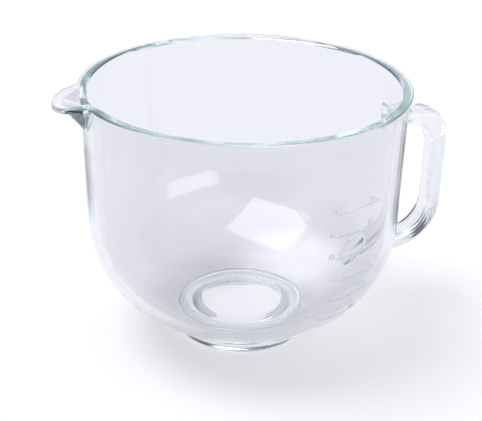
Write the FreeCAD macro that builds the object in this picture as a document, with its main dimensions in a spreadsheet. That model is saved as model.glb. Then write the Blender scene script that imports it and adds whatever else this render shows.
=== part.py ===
import FreeCAD, Part
import Sketcher
import math
import os

# Glass bowl of a stand mixer: one pressed-glass piece with a moulded handle,
# a pouring spout and a ring foot.
# Frame: millimetres, +Z up, origin on the bowl's axis in the plane it stands on,
# handle towards +X and spout towards -X.

SIZES = (
    # name, value, what it measures
    ("overall_height", 182, "foot to the top of the rim"),
    ("rim_radius", 110, "outside of the rim flange"),
    ("rim_width", 7, "rim flange, from its outside to the mouth"),
    ("rim_depth", 3.6, "height of the flange's outer edge"),
    ("rim_edge_round", 1.4, "rounding of the flange's outer edges"),
    ("rim_mouth_round", 2.5, "rounding where the rim turns into the mouth"),
    ("rim_overhang", 2, "how far the flange stands out from the wall under it"),
    ("wall_draft", 0.8, "how much narrower the bowl is at the belly than under the flange"),
    ("belly_radius", 79, "outside radius of the belly's curve in section"),
    ("belly_wall", 6.5, "glass in the belly"),
    ("base_thickness", 5, "glass between the floor and the hollow under it"),
    ("foot_radius", 49, "outside of the foot ring"),
    ("foot_waist_inset", 6.5, "how far the foot draws in between the ring and the belly"),
    ("foot_cove_radius", 4, "radius of the hollow curve at the waist"),
    ("foot_ring_width", 11.5, "width of the ring that the bowl stands on"),
    ("foot_recess_depth", 12.5, "height of the hollow inside the ring"),
    ("foot_recess_taper", 7, "how much smaller the hollow's radius is at its top"),
    ("foot_recess_round", 2, "rounding at the top of the hollow"),
    ("foot_edge_round", 1.2, "rounding of the ring's edges"),
    ("spout_projection", 17, "how far the spout's tip stands out from the rim"),
    ("spout_nose_radius", 25, "plan radius of the spout's tip"),
    ("spout_flank_radius", 16, "plan radius where the rim turns out to the spout"),
    ("spout_dip", 3.5, "drop of the rim along the middle of the spout"),
    ("beak_depth", 24, "rim to the bottom of the beak's cone"),
    ("beak_sink", 0.2, "how far the cone's sides run inside the wall under the flange"),
    ("beak_root_inset", 1.5, "how far the cone's bottom lies inside the wall"),
    ("beak_root_radius", 5, "plan radius of the cone's bottom"),
    ("beak_root_round", 4, "fillet where the beak meets the wall"),
    ("handle_width", 19, "handle across, from side to side"),
    ("handle_thickness", 11, "handle through, from its outside to the finger gap"),
    ("finger_room", 31.5, "wall to the inside of the grip"),
    ("handle_drop", 30, "rim to the top of the upper arm"),
    ("handle_top_bend", 20, "outside radius at the top bend"),
    ("finger_top_bend", 20, "finger-gap radius at the top bend"),
    ("grip_end_height", 80, "where the grip starts to bend in"),
    ("finger_lower_bend", 25, "finger-gap radius at the lower bend"),
    ("lower_arm_slope", 18, "slope of the lower arm in degrees"),
    ("handle_edge_round", 3.5, "rounding of the handle's long edges"),
    ("handle_root_round", 4, "fillet where the arms meet the wall"),
)
OVERCUT = 5  # cutting profiles run this far past the surface they cut
NEAR = 0.02  # a point this close to a surface lies on it

# Names for the ends of a sketch element, and for a sketch's own axes
START, END, CENTRE = range(1, 4)
ACROSS, UPRIGHT = range(-1, -3, -1)
ORIGIN = (ACROSS, START)

doc = FreeCAD.newDocument("mixer_bowl")
sheet = doc.addObject("Spreadsheet::Sheet", "sizes")
for row, (name, value, meaning) in enumerate(SIZES, start=1):
    sheet.set("A%d" % row, name)
    sheet.set("B%d" % row, str(value))
    sheet.set("C%d" % row, meaning)
    sheet.setAlias("B%d" % row, name)
doc.recompute()

bowl = doc.addObject("PartDesign::Body", "bowl")
bowl.Label = "bowl"
# The handle and the lip are made before the turned form joins them.
bowl.AllowCompound = True

# Places that follow from the sizes, as formulas on the sheet
MOUTH_RADIUS = "(sizes.rim_radius - sizes.rim_width)"
UNDER_RIM = "(sizes.overall_height - sizes.rim_depth)"
WALL_TOP = "(sizes.rim_radius - sizes.rim_overhang)"
BELLY_CENTRE = "(%s - sizes.wall_draft - sizes.belly_radius)" % WALL_TOP
BELLY_INSIDE = "(sizes.belly_radius - sizes.belly_wall)"
FLOOR_HEIGHT = "(sizes.foot_recess_depth + sizes.base_thickness)"
BELLY_HEIGHT = "(%s + %s)" % (FLOOR_HEIGHT, BELLY_INSIDE)
COVE_CENTRE = "(sizes.foot_radius - sizes.foot_waist_inset + sizes.foot_cove_radius)"
COVE_HEIGHT = "(%s - sqrt((sizes.belly_radius + sizes.foot_cove_radius)^2 - (%s - %s)^2))" % (
    BELLY_HEIGHT, COVE_CENTRE, BELLY_CENTRE)
RING_TOP = "(%s - sizes.foot_cove_radius)" % COVE_HEIGHT
HOLLOW_RADIUS = "(sizes.foot_radius - sizes.foot_ring_width)"
HOLLOW_TOP_RADIUS = "(%s - sizes.foot_recess_taper)" % HOLLOW_RADIUS
GRIP_OUTSIDE = "(%s + sizes.finger_room + sizes.handle_thickness)" % WALL_TOP
HANDLE_TOP = "(sizes.overall_height - sizes.handle_drop)"
SPOUT_TIP = "(sizes.rim_radius + sizes.spout_projection)"
BEAK_INSET = "(sizes.rim_overhang + sizes.beak_sink)"
NOSE_CENTRE = "(%s - sizes.spout_nose_radius)" % SPOUT_TIP
FLANK_SPOKE = "(sizes.rim_radius + sizes.spout_flank_radius)"
FLANK_CENTRE = "((%s^2 - (sizes.spout_nose_radius + sizes.spout_flank_radius)^2 + %s^2) / (2 * %s))" % (
    FLANK_SPOKE, NOSE_CENTRE, NOSE_CENTRE)
FLANK_OFFSET = "sqrt(%s^2 - %s^2)" % (FLANK_SPOKE, FLANK_CENTRE)
SPOUT_HALF_WIDTH = "(%s * sizes.rim_radius / %s)" % (FLANK_OFFSET, FLANK_SPOKE)
DIP_RADIUS = "(%s / (2 * sin(2 * atan(sizes.spout_dip / %s))))" % (SPOUT_HALF_WIDTH, SPOUT_HALF_WIDTH)


def value_of(formula):
    result = sheet.evalExpression(formula)
    return float(getattr(result, "Value", result))


def size(name):
    return value_of("sizes." + name)


def belly_centre():
    return value_of(BELLY_CENTRE), value_of(BELLY_HEIGHT)


# Sketching

def new_sketch(name, plane_role, height=None):
    """A sketch on one of the bowl's origin planes, or raised above it."""
    sketch = bowl.newObject("Sketcher::SketchObject", name)
    plane = next(item for item in bowl.Origin.OriginFeatures if item.Role == plane_role)
    sketch.AttachmentSupport = [(plane, "")]
    sketch.MapMode = "FlatFace"
    if height is not None:
        sketch.setExpression(".AttachmentOffset.Base.z", height)
    return sketch


def add_line(sketch, start, end, helper=False):
    return sketch.addGeometry(Part.LineSegment(FreeCAD.Vector(*start), FreeCAD.Vector(*end)), helper)


def add_arc(sketch, centre, radius, first, last):
    circle = Part.Circle(FreeCAD.Vector(*centre), FreeCAD.Vector(0, 0, 1), radius)
    return sketch.addGeometry(Part.ArcOfCircle(circle, math.radians(first), math.radians(last)), False)


def constrain(sketch, kind, *sets):
    for items in sets:
        items = items if isinstance(items, tuple) else (items,)
        sketch.addConstraint(Sketcher.Constraint(kind, *items))


def dimension(sketch, kind, where, formula):
    index = sketch.addConstraint(Sketcher.Constraint(kind, *where, value_of(formula)))
    sketch.setExpression("Constraints[%d]" % index, formula)


def finished(sketch):
    doc.recompute()
    if sketch.solve() != 0 or not sketch.FullyConstrained:
        raise RuntimeError("the sketch %s is not fully solved" % sketch.Name)
    return sketch


def wall_tangent(centre, radius, point):
    """Where the line from a point outside a circle touches its far right side, and at what angle."""
    across, up = point[0] - centre[0], point[1] - centre[1]
    angle = math.atan2(up, across) - math.acos(radius / math.hypot(across, up))
    touch = (centre[0] + radius * math.cos(angle), centre[1] + radius * math.sin(angle))
    return touch, math.degrees(angle)


def outer_profile():
    """Half section of the bowl's outside: foot, belly, wall and rim flange."""
    sketch = new_sketch("outer_profile", "YZ_Plane")
    centre, wall_top = belly_centre(), (value_of(WALL_TOP), value_of(UNDER_RIM))
    radius, foot, rim = size("belly_radius"), size("foot_radius"), size("rim_radius")
    height, ring_top = size("overall_height"), value_of(RING_TOP)
    cove_centre = (value_of(COVE_CENTRE), value_of(COVE_HEIGHT))
    cove_angle = math.degrees(math.atan2(centre[1] - cove_centre[1], centre[0] - cove_centre[0]))
    touch, touch_angle = wall_tangent(centre, radius, wall_top)

    base = add_line(sketch, (0, 0), (foot, 0))
    side = add_line(sketch, (foot, 0), (foot, ring_top))
    shelf = add_line(sketch, (foot, ring_top), (cove_centre[0], ring_top))
    cove = add_arc(sketch, cove_centre, size("foot_cove_radius"), cove_angle, 270)
    belly = add_arc(sketch, centre, radius, cove_angle - 180, touch_angle)
    wall = add_line(sketch, touch, wall_top)
    ledge = add_line(sketch, wall_top, (rim, wall_top[1]))
    edge = add_line(sketch, (rim, wall_top[1]), (rim, height))
    lid = add_line(sketch, (rim, height), (0, height))
    axis = add_line(sketch, (0, height), (0, 0))
    constrain(sketch, "Coincident", (base, START, *ORIGIN), (base, END, side, START), (side, END, shelf, START),
              (wall, END, ledge, START), (ledge, END, edge, START), (edge, END, lid, START),
              (lid, END, axis, START), (axis, END, base, START))
    constrain(sketch, "Tangent", (shelf, END, cove, END), (cove, START, belly, START), (belly, END, wall, START))
    constrain(sketch, "Horizontal", base, shelf, ledge, lid)
    constrain(sketch, "Vertical", side, edge, axis)
    dimension(sketch, "DistanceX", (*ORIGIN, side, START), "sizes.foot_radius")
    dimension(sketch, "Radius", (cove,), "sizes.foot_cove_radius")
    dimension(sketch, "DistanceX", (*ORIGIN, cove, CENTRE), COVE_CENTRE)
    dimension(sketch, "Radius", (belly,), "sizes.belly_radius")
    dimension(sketch, "DistanceX", (*ORIGIN, belly, CENTRE), BELLY_CENTRE)
    dimension(sketch, "DistanceY", (*ORIGIN, belly, CENTRE), BELLY_HEIGHT)
    dimension(sketch, "DistanceX", (*ORIGIN, wall, END), WALL_TOP)
    dimension(sketch, "DistanceX", (*ORIGIN, edge, START), "sizes.rim_radius")
    dimension(sketch, "DistanceY", (edge, START, edge, END), "sizes.rim_depth")
    dimension(sketch, "DistanceY", (*ORIGIN, edge, END), "sizes.overall_height")
    return finished(sketch)


def cavity_profile():
    """Half section of the inside: flat floor, belly and a wall that widens to the mouth."""
    sketch = new_sketch("cavity_profile", "YZ_Plane")
    centre, radius = belly_centre(), value_of(BELLY_INSIDE)
    mouth = (value_of(MOUTH_RADIUS), size("overall_height"))
    floor_height, top = value_of(FLOOR_HEIGHT), mouth[1] + OVERCUT
    touch, touch_angle = wall_tangent(centre, radius, mouth)

    floor = add_line(sketch, (0, floor_height), (centre[0], floor_height))
    belly = add_arc(sketch, centre, radius, -90, touch_angle)
    wall = add_line(sketch, touch, mouth)
    rise = add_line(sketch, mouth, (mouth[0], top))
    lid = add_line(sketch, (mouth[0], top), (0, top))
    axis = add_line(sketch, (0, top), (0, floor_height))
    constrain(sketch, "Tangent", (floor, END, belly, START), (belly, END, wall, START))
    constrain(sketch, "Coincident", (wall, END, rise, START), (rise, END, lid, START), (lid, END, axis, START),
              (axis, END, floor, START))
    constrain(sketch, "Horizontal", floor, lid)
    constrain(sketch, "Vertical", rise, axis)
    constrain(sketch, "PointOnObject", (floor, START, UPRIGHT))
    dimension(sketch, "Radius", (belly,), BELLY_INSIDE)
    dimension(sketch, "DistanceX", (*ORIGIN, belly, CENTRE), BELLY_CENTRE)
    dimension(sketch, "DistanceY", (*ORIGIN, belly, CENTRE), BELLY_HEIGHT)
    dimension(sketch, "DistanceX", (*ORIGIN, wall, END), MOUTH_RADIUS)
    dimension(sketch, "DistanceY", (*ORIGIN, wall, END), "sizes.overall_height")
    dimension(sketch, "DistanceY", (rise, START, rise, END), "%d" % OVERCUT)
    return finished(sketch)


def recess_profile():
    """Half section of the hollow under the bowl, which narrows upward inside the foot ring."""
    sketch = new_sketch("recess_profile", "YZ_Plane")
    radius, top_radius, depth = value_of(HOLLOW_RADIUS), value_of(HOLLOW_TOP_RADIUS), size("foot_recess_depth")

    bottom = add_line(sketch, (0, -OVERCUT), (radius, -OVERCUT))
    rise = add_line(sketch, (radius, -OVERCUT), (radius, 0))
    side = add_line(sketch, (radius, 0), (top_radius, depth))
    ceiling = add_line(sketch, (top_radius, depth), (0, depth))
    axis = add_line(sketch, (0, depth), (0, -OVERCUT))
    constrain(sketch, "Coincident", (bottom, END, rise, START), (rise, END, side, START),
              (side, END, ceiling, START), (ceiling, END, axis, START), (axis, END, bottom, START))
    constrain(sketch, "Horizontal", bottom, ceiling)
    constrain(sketch, "Vertical", rise, axis)
    constrain(sketch, "PointOnObject", (bottom, START, UPRIGHT), (side, START, ACROSS))
    dimension(sketch, "DistanceX", (*ORIGIN, side, START), HOLLOW_RADIUS)
    dimension(sketch, "DistanceX", (*ORIGIN, side, END), HOLLOW_TOP_RADIUS)
    dimension(sketch, "DistanceY", (*ORIGIN, ceiling, END), "sizes.foot_recess_depth")
    dimension(sketch, "DistanceY", (bottom, START, *ORIGIN), "%d" % OVERCUT)
    return finished(sketch)


def handle_outline():
    """Side view of the handle: two arms and an upright grip, open at the ends inside the bowl."""
    sketch = new_sketch("handle_outline", "XZ_Plane")
    reach, depth, top = value_of(GRIP_OUTSIDE), size("handle_thickness"), value_of(HANDLE_TOP)
    outer_bend, inner_bend = size("handle_top_bend"), size("finger_top_bend")
    grip_end, lower_bend = size("grip_end_height"), size("finger_lower_bend")
    slope = math.radians(size("lower_arm_slope"))
    arms_start = size("foot_radius")
    lower_centre = reach - depth - lower_bend

    def lower_arm(radius):
        """Where the lower arm leaves the bend of this radius, and where it ends inside the bowl."""
        leave = (lower_centre + radius * math.sin(slope), grip_end - radius * math.cos(slope))
        return leave, (arms_start, leave[1] - (leave[0] - arms_start) * math.tan(slope))

    outer_leave, outer_end = lower_arm(lower_bend + depth)
    inner_leave, inner_end = lower_arm(lower_bend)
    bend_start = math.degrees(slope) - 90
    upper = add_line(sketch, (arms_start, top), (reach - outer_bend, top))
    top_outer = add_arc(sketch, (reach - outer_bend, top - outer_bend), outer_bend, 0, 90)
    grip_outer = add_line(sketch, (reach, top - outer_bend), (reach, grip_end))
    low_outer = add_arc(sketch, (lower_centre, grip_end), lower_bend + depth, bend_start, 0)
    arm_outer = add_line(sketch, outer_leave, outer_end)
    low_cap = add_line(sketch, outer_end, inner_end)
    arm_inner = add_line(sketch, inner_end, inner_leave)
    low_inner = add_arc(sketch, (lower_centre, grip_end), lower_bend, bend_start, 0)
    grip_inner = add_line(sketch, (reach - depth, grip_end), (reach - depth, top - depth - inner_bend))
    top_inner = add_arc(sketch, (reach - depth - inner_bend, top - depth - inner_bend), inner_bend, 0, 90)
    under = add_line(sketch, (reach - depth - inner_bend, top - depth), (arms_start, top - depth))
    top_cap = add_line(sketch, (arms_start, top - depth), (arms_start, top))
    constrain(sketch, "Tangent", (upper, END, top_outer, END), (top_outer, START, grip_outer, START),
              (grip_outer, END, low_outer, END), (low_outer, START, arm_outer, START),
              (arm_inner, END, low_inner, START), (low_inner, END, grip_inner, START),
              (grip_inner, END, top_inner, START), (top_inner, END, under, START))
    constrain(sketch, "Coincident", (arm_outer, END, low_cap, START), (low_cap, END, arm_inner, START),
              (under, END, top_cap, START), (top_cap, END, upper, START),
              (low_inner, CENTRE, low_outer, CENTRE))
    constrain(sketch, "Horizontal", upper, under)
    constrain(sketch, "Vertical", grip_outer, grip_inner, low_cap, top_cap)
    constrain(sketch, "Parallel", (arm_outer, arm_inner))
    dimension(sketch, "DistanceX", (*ORIGIN, grip_outer, START), GRIP_OUTSIDE)
    dimension(sketch, "DistanceX", (grip_inner, END, grip_outer, START), "sizes.handle_thickness")
    dimension(sketch, "DistanceY", (top_cap, START, top_cap, END), "sizes.handle_thickness")
    dimension(sketch, "DistanceY", (*ORIGIN, upper, START), HANDLE_TOP)
    dimension(sketch, "DistanceY", (*ORIGIN, low_inner, END), "sizes.grip_end_height")
    dimension(sketch, "Radius", (top_outer,), "sizes.handle_top_bend")
    dimension(sketch, "Radius", (top_inner,), "sizes.finger_top_bend")
    dimension(sketch, "Radius", (low_inner,), "sizes.finger_lower_bend")
    dimension(sketch, "DistanceX", (*ORIGIN, top_cap, START), "sizes.foot_radius")
    dimension(sketch, "DistanceX", (*ORIGIN, low_cap, START), "sizes.foot_radius")
    angle = sketch.addConstraint(Sketcher.Constraint("Angle", ACROSS, START, arm_inner, START, slope))
    sketch.setExpression("Constraints[%d]" % angle, "sizes.lower_arm_slope * 1deg")
    return finished(sketch)


def spout_outline(name, height, rim, reach, nose, flank):
    """Plan of the spout at one height: a round nose that runs out of a circle of radius rim through
    two hollow flanks, each tangent to the nose and to that circle."""
    sketch = new_sketch(name, "XY_Plane", height)
    rim_value, nose_value, flank_value = value_of(rim), value_of(nose), value_of(flank)
    centre = value_of(reach) - nose_value
    spoke = rim_value + flank_value
    along = (spoke**2 - (nose_value + flank_value) ** 2 + centre**2) / (2 * centre)
    aside = math.sqrt(spoke**2 - along**2)
    nose_half = math.degrees(math.atan2(aside, along - centre))
    rim_half = math.degrees(math.atan2(aside, along))
    root = (along * rim_value / spoke, aside * rim_value / spoke)
    back = value_of(MOUTH_RADIUS) - size("rim_width")

    tip = add_arc(sketch, (-centre, 0), nose_value, 180 - nose_half, 180 + nose_half)
    left = add_arc(sketch, (-along, aside), flank_value, -nose_half, -rim_half)
    right = add_arc(sketch, (-along, -aside), flank_value, rim_half, nose_half)
    left_side = add_line(sketch, (-root[0], root[1]), (-back, root[1]))
    inside = add_line(sketch, (-back, root[1]), (-back, -root[1]))
    right_side = add_line(sketch, (-back, -root[1]), (-root[0], -root[1]))
    spoke_line = add_line(sketch, (0, 0), (-along, aside), helper=True)
    constrain(sketch, "Tangent", (tip, START, left, START), (tip, END, right, END))
    constrain(sketch, "Coincident", (left, END, left_side, START), (left_side, END, inside, START),
              (inside, END, right_side, START), (right_side, END, right, START),
              (spoke_line, START, *ORIGIN), (spoke_line, END, left, CENTRE))
    constrain(sketch, "PointOnObject", (left, END, spoke_line), (tip, CENTRE, ACROSS))
    constrain(sketch, "Symmetric", (left, CENTRE, right, CENTRE, ACROSS))
    constrain(sketch, "Vertical", (left, END, right, START), inside)
    constrain(sketch, "Horizontal", left_side, right_side)
    dimension(sketch, "Radius", (tip,), nose)
    dimension(sketch, "Radius", (left,), flank)
    dimension(sketch, "DistanceX", (tip, CENTRE, *ORIGIN), "(%s) - (%s)" % (reach, nose))
    dimension(sketch, "Distance", (spoke_line,), "(%s) + (%s)" % (rim, flank))
    dimension(sketch, "DistanceX", (inside, START, *ORIGIN), MOUTH_RADIUS + " - sizes.rim_width")
    return finished(sketch)


def dip_profile(name, height, upward):
    """Front view of the spout's dip: level at the sides and sunk in the middle by three tangent arcs
    of one radius, closed above the dip or below it."""
    sketch = new_sketch(name, "YZ_Plane")
    level, dip = value_of(height), size("spout_dip")
    half, radius = value_of(SPOUT_HALF_WIDTH), value_of(DIP_RADIUS)
    turn = math.degrees(2 * math.atan(dip / half))
    side = half + OVERCUT
    far = level + OVERCUT if upward else level - dip - OVERCUT

    left = add_arc(sketch, (-half, level - radius), radius, 90 - turn, 90)
    middle = add_arc(sketch, (0, level - dip + radius), radius, 270 - turn, 270 + turn)
    right = add_arc(sketch, (half, level - radius), radius, 90, 90 + turn)
    right_level = add_line(sketch, (half, level), (side, level))
    right_side = add_line(sketch, (side, level), (side, far))
    closing = add_line(sketch, (side, far), (-side, far))
    left_side = add_line(sketch, (-side, far), (-side, level))
    left_level = add_line(sketch, (-side, level), (-half, level))
    constrain(sketch, "Tangent", (left, START, middle, START), (middle, END, right, END),
              (right, START, right_level, START), (left_level, END, left, END))
    constrain(sketch, "Coincident", (right_level, END, right_side, START), (right_side, END, closing, START),
              (closing, END, left_side, START), (left_side, END, left_level, START))
    constrain(sketch, "Horizontal", right_level, closing, left_level)
    constrain(sketch, "Vertical", right_side, left_side)
    constrain(sketch, "Equal", (left, middle), (left, right))
    constrain(sketch, "PointOnObject", (middle, CENTRE, UPRIGHT))
    dimension(sketch, "Radius", (left,), DIP_RADIUS)
    dimension(sketch, "DistanceX", (left, END, *ORIGIN), SPOUT_HALF_WIDTH)
    dimension(sketch, "DistanceX", (*ORIGIN, right_level, START), SPOUT_HALF_WIDTH)
    dimension(sketch, "DistanceY", (*ORIGIN, right_level, START), height)
    dimension(sketch, "DistanceX", (right_level, START, right_level, END), "%d" % OVERCUT)
    dimension(sketch, "DistanceX", (left_level, START, left_level, END), "%d" % OVERCUT)
    closing_height = "%s + %d" if upward else "%s - sizes.spout_dip - %d"
    dimension(sketch, "DistanceY", (*ORIGIN, closing, START), closing_height % (height, OVERCUT))
    return finished(sketch)


# Features

def recomputed(feature):
    doc.recompute()
    if "Invalid" in feature.State or "Error" in feature.State or not bowl.Shape.isValid():
        raise RuntimeError("the feature %s failed" % feature.Name)
    return feature


def extrude(kind, name, sketch, length, symmetric=False, reverse=False):
    feature = bowl.newObject(kind, name)
    feature.Profile = sketch
    feature.SideType = "Symmetric" if symmetric else "One side"
    feature.Reversed = reverse
    feature.setExpression("Length", length)
    return recomputed(feature)


def turn(kind, name, sketch):
    feature = bowl.newObject(kind, name)
    feature.Profile = sketch
    feature.ReferenceAxis = (sketch, ["V_Axis"])
    feature.Angle = 360
    return recomputed(feature)


def cuts(make):
    """Make a feature that removes glass, and see that it does."""
    before = bowl.Shape.Volume
    feature = make()
    if bowl.Shape.Volume >= before:
        raise RuntimeError("the feature %s cuts nothing" % feature.Name)


def points_on(edge, count=9):
    step = (edge.LastParameter - edge.FirstParameter) / (count - 1)
    return [edge.valueAt(edge.FirstParameter + step * k) for k in range(count)]


def fillet(name, radius, chosen):
    """Round every edge whose points all pass the test."""
    edges = bowl.Shape.Edges
    names = ["Edge%d" % (k + 1) for k, edge in enumerate(edges) if all(chosen(p) for p in points_on(edge))]
    if not names:
        raise RuntimeError("no edge to round for %s" % name)
    base = bowl.Tip
    feature = bowl.newObject("PartDesign::Fillet", name)
    feature.Base = (base, names)
    feature.setExpression("Radius", "sizes." + radius)
    return recomputed(feature)


def axis_distance(point):
    return math.hypot(point.x, point.y)


def dip_depth(point):
    """How far the spout's dip lies under the rim's own level at a point."""
    half, radius, dip = value_of(SPOUT_HALF_WIDTH), value_of(DIP_RADIUS), size("spout_dip")
    aside = abs(point.y)
    if point.x > 0 or aside > half:
        return 0.0
    if aside > half / 2:
        return radius - math.sqrt(radius**2 - (half - aside) ** 2)
    return dip - radius + math.sqrt(radius**2 - aside**2)


def on_level(point, formula):
    return abs(point.z + dip_depth(point) - value_of(formula)) < NEAR


def on_rim_outline(point):
    """On the rim's outer circle, or on the spout's flanks or nose."""
    aside = abs(point.y)
    to_nose = math.hypot(point.x + value_of(NOSE_CENTRE), aside)
    to_flank = math.hypot(point.x + value_of(FLANK_CENTRE), aside - value_of(FLANK_OFFSET))
    return (abs(axis_distance(point) - size("rim_radius")) < NEAR
            or abs(to_nose - size("spout_nose_radius")) < NEAR
            or abs(to_flank - size("spout_flank_radius")) < NEAR)


def make_handle():
    extrude("PartDesign::Pad", "handle", handle_outline(), "sizes.handle_width", symmetric=True)
    side = size("handle_width") / 2
    outside_caps = size("foot_radius") - NEAR
    fillet("handle_edges", "handle_edge_round",
           lambda p: abs(abs(p.y) - side) < NEAR and p.x > outside_caps)


def make_lip():
    """The rim's flange drawn out to a lip, and the beak that carries it."""
    outline = spout_outline("lip_outline", "sizes.overall_height", "sizes.rim_radius", SPOUT_TIP,
                            "sizes.spout_nose_radius", "sizes.spout_flank_radius")
    extrude("PartDesign::Pad", "lip", outline, "sizes.rim_depth + sizes.spout_dip", reverse=True)
    underside = dip_profile("lip_underside", UNDER_RIM, upward=False)
    past_tip = "%s + %d" % (SPOUT_TIP, OVERCUT)
    cuts(lambda: extrude("PartDesign::Pocket", "lip_underside_cut", underside, past_tip))
    top = spout_outline("beak_top", "sizes.overall_height - sizes.rim_depth / 2",
                        "sizes.rim_radius - " + BEAK_INSET, "%s - %s" % (SPOUT_TIP, BEAK_INSET),
                        "sizes.spout_nose_radius - " + BEAK_INSET, "sizes.spout_flank_radius + " + BEAK_INSET)
    root = spout_outline("beak_root", "sizes.overall_height - sizes.beak_depth",
                         MOUTH_RADIUS + " - sizes.beak_root_inset", WALL_TOP + " - sizes.beak_root_inset",
                         "sizes.beak_root_radius", "sizes.beak_root_radius")
    beak = bowl.newObject("PartDesign::AdditiveLoft", "beak")
    beak.Profile = top
    beak.Sections = [root]
    beak.Ruled = True
    recomputed(beak)


def make_bowl():
    make_handle()
    make_lip()
    turn("PartDesign::Revolution", "outer_form", outer_profile())
    trough = dip_profile("trough_profile", "sizes.overall_height", upward=True)
    past_tip = "%s + %d" % (SPOUT_TIP, OVERCUT)
    cuts(lambda: extrude("PartDesign::Pocket", "trough", trough, past_tip))
    cuts(lambda: turn("PartDesign::Groove", "cavity", cavity_profile()))
    cuts(lambda: turn("PartDesign::Groove", "foot_recess", recess_profile()))


def on_wall(point):
    """On the outside of the wall or the belly."""
    centre, top = belly_centre(), (value_of(WALL_TOP), value_of(UNDER_RIM))
    across = axis_distance(point)
    touch, angle = wall_tangent(centre, size("belly_radius"), top)
    if point.z > touch[1]:
        slope = math.radians(angle)
        return abs((across - touch[0]) * math.cos(slope) + (point.z - touch[1]) * math.sin(slope)) < NEAR
    return abs(math.hypot(across - centre[0], point.z - centre[1]) - size("belly_radius")) < NEAR


def round_edges():
    """Fillets of the pressed form, from the handle's roots to the foot."""
    half_handle = size("handle_width") / 2 + NEAR
    fillet("handle_roots", "handle_root_round",
           lambda p: p.x > 0 and abs(p.y) < half_handle and on_wall(p))
    under_lip = value_of(UNDER_RIM) - NEAR
    fillet("beak_root_fillet", "beak_root_round",
           lambda p: p.x < 0 and p.z < under_lip and abs(p.y) < value_of(SPOUT_HALF_WIDTH) and on_wall(p))
    mouth = value_of(MOUTH_RADIUS)
    fillet("mouth_edge", "rim_mouth_round",
           lambda p: axis_distance(p) < mouth + NEAR and on_level(p, "sizes.overall_height"))
    fillet("rim_top_edge", "rim_edge_round",
           lambda p: on_rim_outline(p) and on_level(p, "sizes.overall_height"))
    fillet("rim_bottom_edge", "rim_edge_round",
           lambda p: on_rim_outline(p) and on_level(p, UNDER_RIM))
    fillet("hollow_edge", "foot_recess_round",
           lambda p: abs(p.z - size("foot_recess_depth")) < NEAR
           and abs(axis_distance(p) - value_of(HOLLOW_TOP_RADIUS)) < NEAR)
    ring_top = value_of(RING_TOP)
    fillet("foot_ring_edges", "foot_edge_round",
           lambda p: abs(p.z) < NEAR
           or (abs(p.z - ring_top) < NEAR and abs(axis_distance(p) - size("foot_radius")) < NEAR))


make_bowl()
round_edges()
doc.recompute()

for item in doc.Objects:
    if "Invalid" in item.State or "Error" in item.State:
        raise RuntimeError("%s is not sound" % item.Name)
if bowl.Shape.isNull() or not bowl.Shape.isValid() or len(bowl.Shape.Solids) != 1:
    raise RuntimeError("the bowl is not one sound solid")
print("glass %.1f cm3" % (bowl.Shape.Volume / 1000))
os.makedirs("parts", exist_ok=True)
bowl.Shape.exportStep("parts/%s.step" % bowl.Label)
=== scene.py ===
import bpy
import bmesh
import math
import numpy as np
from mathutils import Matrix, Vector


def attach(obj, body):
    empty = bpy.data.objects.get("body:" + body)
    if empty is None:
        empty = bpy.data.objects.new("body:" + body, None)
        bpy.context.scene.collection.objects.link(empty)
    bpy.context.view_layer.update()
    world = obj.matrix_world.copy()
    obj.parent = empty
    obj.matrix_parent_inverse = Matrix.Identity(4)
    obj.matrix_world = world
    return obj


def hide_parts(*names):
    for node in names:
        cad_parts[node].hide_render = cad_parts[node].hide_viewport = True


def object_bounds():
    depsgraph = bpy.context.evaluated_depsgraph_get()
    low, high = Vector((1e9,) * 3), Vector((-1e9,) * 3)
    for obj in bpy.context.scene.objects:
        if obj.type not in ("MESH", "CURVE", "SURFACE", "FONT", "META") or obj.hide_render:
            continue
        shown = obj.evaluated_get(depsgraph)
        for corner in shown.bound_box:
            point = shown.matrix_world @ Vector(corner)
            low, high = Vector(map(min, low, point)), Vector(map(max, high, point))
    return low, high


# A clear glass mixer bowl in a white studio: a dense smooth mesh of the pressed glass, the
# measuring scale moulded in its wall, the materials, and the room round it.
# Shapes are worked out in millimetres in the part's own frame (handle +X, spout -X, +Z up).
# The studio is in metres.

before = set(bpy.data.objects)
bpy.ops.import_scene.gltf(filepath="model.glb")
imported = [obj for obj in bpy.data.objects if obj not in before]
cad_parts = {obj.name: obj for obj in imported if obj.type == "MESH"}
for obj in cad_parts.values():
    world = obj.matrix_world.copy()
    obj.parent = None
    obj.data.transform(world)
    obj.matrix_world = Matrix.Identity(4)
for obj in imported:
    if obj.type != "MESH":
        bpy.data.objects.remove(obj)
cad_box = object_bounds()

MM = 0.001

# Overall sizes, from the solid's box
BOX_DIGITS = 2
HEIGHT = round(cad_box[1][2] / MM, BOX_DIGITS)
RIM_RADIUS = round(cad_box[1][1] / MM, BOX_DIGITS)
SPOUT_REACH = round(-cad_box[0][0] / MM, BOX_DIGITS)
HANDLE_REACH = round(cad_box[1][0] / MM, BOX_DIGITS)

# Rim and wall
RIM_WIDTH = 7.0
RIM_DEPTH = 3.6
RIM_EDGE_ROUND = 1.4
MOUTH_ROUND = 2.5
WALL_TOP_RADIUS = 108.0
BELLY_WALL = 6.5
BELLY_RADIUS = 79.0
BELLY_CENTRE = (28.2, 90.0)

# Foot, and the hollow under the floor
FOOT_RADIUS = 49.0
FOOT_WAIST_RADIUS = 42.5
FOOT_COVE_RADIUS = 4.0
FOOT_TOP_ROUND = 1.2
FOOT_EDGE_ROUND = 3.5
HOLLOW_RADIUS = 37.5
HOLLOW_TOP_RADIUS = 30.5
HOLLOW_DEPTH = 12.5
HOLLOW_EDGE_ROUND = 3.0
HOLLOW_ROUND = 2.0

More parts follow.
